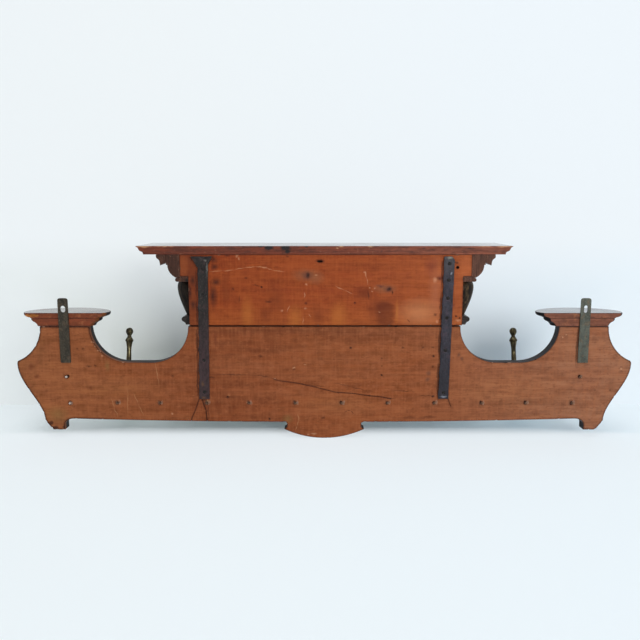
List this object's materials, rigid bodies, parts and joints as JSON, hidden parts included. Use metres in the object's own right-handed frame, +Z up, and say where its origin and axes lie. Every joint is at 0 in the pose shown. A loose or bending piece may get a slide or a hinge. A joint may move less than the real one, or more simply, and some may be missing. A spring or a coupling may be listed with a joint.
{
  "type": "coat rack",
  "caption": "Wall coat rack of shaped pine boards with a hat shelf on turned columns, half-oval end shelves, iron straps and hanger plates, and brass hooks.",
  "frame": {"origin": "on the wall plane, midway between the holes of the two hanger plates", "axes": "+Z up, +Y into the wall, so the rack's front faces -Y; +X to the right of someone who faces the rack"},
  "size_m": [1.3004, 0.1535, 0.4115],
  "materials": {
    "main_pine": "bare sawn pine, aged brown, matt",
    "upper_pine": "bare planed pine, aged orange-brown, matt",
    "walnut": "walnut mouldings and turnings, dark stained, satin",
    "walnut_facing": "walnut facing, polished, satin",
    "shelf_wood": "red-brown stained shelf board, polished top",
    "strap_iron": "wrought strap, dark oxide and light rust",
    "hanger_iron": "cut plate, dull olive-grey oxide",
    "brass": "cast brass, darkened by age",
    "steel": "wood screws, dull with rust"
  },
  "bodies": {
    "root": {"main_board": "main_pine", "main_facing": "walnut_facing", "upper_board": "upper_pine", "upper_facing": "walnut_facing", "hat_shelf": "shelf_wood", "frieze_front": "walnut", "frieze_right": "walnut", "frieze_left": "walnut", "bed_moulding_front": "walnut", "bed_moulding_right": "walnut", "bed_moulding_left": "walnut", "soffit": "walnut", "ledge": "walnut", "column_right": "walnut", "column_left": "walnut", "end_shelf_right": "shelf_wood", "end_shelf_left": "shelf_wood", "end_bed_moulding_right": "shelf_wood", "end_bed_moulding_left": "shelf_wood", "strap_right": "strap_iron", "strap_left": "strap_iron", "hanger_right": "hanger_iron", "hanger_left": "hanger_iron", "strap_right_screw_1": "steel", "strap_right_screw_2": "steel", "strap_right_screw_3": "steel", "strap_right_screw_4": "steel", "strap_left_screw_1": "steel", "strap_left_screw_2": "steel", "strap_left_screw_3": "steel", "strap_left_screw_4": "steel", "strap_left_screw_5": "steel", "strap_left_screw_6": "steel", "hanger_right_screw_1": "steel", "hanger_right_screw_2": "steel", "hanger_left_screw_1": "steel", "hanger_left_screw_2": "steel", "coat_hook_01": "brass", "hat_hook_02": "brass", "coat_hook_03": "brass", "coat_hook_04": "brass", "hat_hook_05": "brass", "coat_hook_06": "brass", "coat_hook_07": "brass", "hat_hook_08": "brass", "coat_hook_09": "brass", "coat_hook_10": "brass", "hat_hook_11": "brass", "coat_hook_12": "brass", "rosette_right": "walnut", "rosette_left": "walnut", "rosette_screw_right": "brass", "rosette_screw_left": "brass"}
  },
  "joints": []
}
